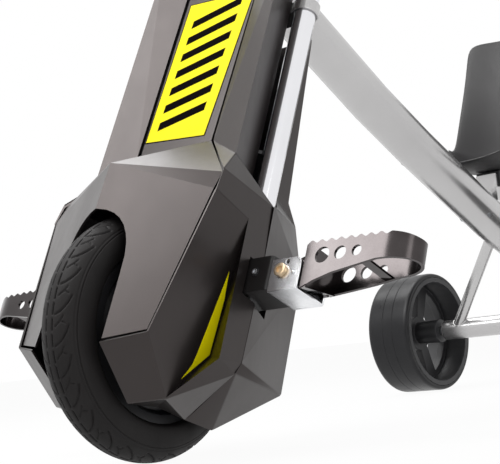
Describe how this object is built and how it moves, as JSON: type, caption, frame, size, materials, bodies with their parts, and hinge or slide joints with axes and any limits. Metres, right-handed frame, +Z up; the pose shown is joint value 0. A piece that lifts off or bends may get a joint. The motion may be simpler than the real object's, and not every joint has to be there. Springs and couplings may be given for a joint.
{
  "type": "electric tricycle",
  "caption": "Electric drift tricycle: powered front wheel in a faceted cover, folding foot pegs, curved backbone, bucket seat and slick rear wheels.",
  "frame": {"origin": "on the ground, under the middle of the machine's whole length and width", "axes": "+Z up, the machine faces -Y, +X to the rider's left"},
  "size_m": [0.7645, 1.3585, 0.8989],
  "materials": {
    "satin_cover": "satin black-grey moulded plastic",
    "black_plastic": "fine-grained black plastic",
    "tyre_rubber": "matt black tyre rubber",
    "black_rubber": "matt black rubber",
    "silver_paint": "polished silver lacquer",
    "bright_steel": "bright drawn steel",
    "black_steel": "black powder coat",
    "aluminium": "plain aluminium",
    "zinc_plate": "bright zinc plating",
    "brass_bolt": "yellow-passivated steel, brass coloured",
    "clamp_block": "dark grey satin paint",
    "peg_plate": "dark grey metal plate with a satin sheen",
    "battery_case": "dark shrink sleeve",
    "cast_wheel": "black moulded nylon",
    "slick_sleeve": "hard black slick sleeve"
  },
  "bodies": {
    "frame": {"main_frame": "silver_paint", "headset_lower": "black_plastic", "headset_upper": "black_plastic", "rear_axle": "bright_steel", "rear_axle_nut_left": "zinc_plate", "rear_axle_nut_right": "zinc_plate"},
    "fork": {"fork_leg_left": "silver_paint", "fork_leg_right": "silver_paint", "lower_crown": "silver_paint", "upper_crown": "silver_paint", "steerer_tube": "bright_steel", "steerer_nut": "zinc_plate", "front_panel": "satin_cover", "side_cover_left": "satin_cover", "side_cover_right": "satin_cover", "rear_cover": "satin_cover", "console_cap": "black_plastic", "battery_tray": "black_steel", "battery_pack": "battery_case", "motor_controller": "aluminium", "hub_axle": "bright_steel", "axle_nut_left": "zinc_plate", "axle_nut_right": "zinc_plate", "brake_caliper": "black_steel", "handlebar": "black_steel", "bar_clamp_left": "black_steel", "bar_clamp_right": "black_steel", "grip_left": "black_rubber", "grip_right": "black_rubber", "brake_perch": "black_steel", "throttle_housing": "black_plastic", "charge_port": "black_plastic", "switch_bezel": "black_plastic", "peg_block_left": "clamp_block", "peg_block_right": "clamp_block", "peg_bracket_left": "zinc_plate", "peg_bracket_right": "zinc_plate", "peg_pivot_left": "brass_bolt", "peg_pivot_right": "brass_bolt"},
    "front_wheel": {"front_tyre": "tyre_rubber", "hub_motor": "black_steel", "brake_disc": "bright_steel"},
    "rear_wheel_left": {"rear_wheel_left": "cast_wheel", "rear_sleeve_left": "slick_sleeve"},
    "rear_wheel_right": {"rear_wheel_right": "cast_wheel", "rear_sleeve_right": "slick_sleeve"},
    "peg_left": {"peg_left": "peg_plate"},
    "peg_right": {"peg_right": "peg_plate"},
    "throttle": {"throttle_sleeve": "black_rubber"},
    "brake_lever": {"brake_lever": "aluminium"},
    "brake_arm": {"brake_arm": "zinc_plate"},
    "power_switch": {"power_switch": "black_rubber"},
    "charge_port_cap": {"charge_port_cap": "black_rubber"},
    "seat": {"seat_carriage": "black_steel", "seat_shell": "black_plastic"},
    "seat_clamp_lever": {"seat_clamp_lever": "zinc_plate"}
  },
  "joints": [
    {"name": "steering", "type": "hinge", "parent": "frame", "child": "fork", "pos_m": [0, -0.47996, 0.13834], "axis": [0, 0.454, 0.891], "range_deg": [-45, 45]},
    {"name": "front_wheel_spin", "type": "hinge", "parent": "fork", "child": "front_wheel", "pos_m": [0, -0.5205, 0.159], "axis": [1, 0, 0], "continuous": true},
    {"name": "rear_wheel_left_spin", "type": "hinge", "parent": "frame", "child": "rear_wheel_left", "pos_m": [0.285, 0.5595, 0.12], "axis": [1, 0, 0], "continuous": true},
    {"name": "rear_wheel_right_spin", "type": "hinge", "parent": "frame", "child": "rear_wheel_right", "pos_m": [-0.285, 0.5595, 0.12], "axis": [1, 0, 0], "continuous": true},
    {"name": "peg_left_fold", "type": "hinge", "parent": "fork", "child": "peg_left", "pos_m": [0.194, -0.445, 0.20695], "axis": [0, -0.891, 0.454], "range_deg": [0, 85]},
    {"name": "peg_right_fold", "type": "hinge", "parent": "fork", "child": "peg_right", "pos_m": [-0.194, -0.445, 0.20695], "axis": [0, 0.891, -0.454], "range_deg": [0, 85]},
    {"name": "throttle_twist", "type": "hinge", "parent": "fork", "child": "throttle", "pos_m": [-0.25384, -0.03951, 0.8743], "axis": [-0.8865, 0.4167, -0.2014], "range_deg": [-65, 0], "stiffness_Nm_per_rad": 0.3},
    {"name": "brake_lever_pull", "type": "hinge", "parent": "fork", "child": "brake_lever", "pos_m": [0.25797, -0.06779, 0.88859], "axis": [-0.0086, 0.45, 0.893], "range_deg": [0, 16], "stiffness_Nm_per_rad": 1},
    {"name": "brake_arm_swing", "type": "hinge", "parent": "fork", "child": "brake_arm", "pos_m": [-0.072, -0.4593, 0.17771], "axis": [1, 0, 0], "range_deg": [0, 24]},
    {"name": "power_switch_rock", "type": "hinge", "parent": "fork", "child": "power_switch", "pos_m": [0.045, -0.2432, 0.70323], "axis": [1, 0, 0], "range_deg": [0, 16]},
    {"name": "charge_port_cap_lift", "type": "hinge", "parent": "fork", "child": "charge_port_cap", "pos_m": [-0.045, -0.23238, 0.70355], "axis": [-1, 0, 0], "range_deg": [0, 110]},
    {"name": "seat_slide", "type": "slide", "parent": "frame", "child": "seat", "axis": [0, 1, 0], "range_m": [0, 0.1]},
    {"name": "seat_clamp_turn", "type": "hinge", "parent": "seat", "child": "seat_clamp_lever", "pos_m": [0.0246, 0.4795, 0.387], "axis": [1, 0, 0], "range_deg": [0, 150]}
  ],
  "couplings": [
    {"joint": "brake_arm_swing", "follows": "brake_lever_pull", "ratio": 1.5}
  ]
}
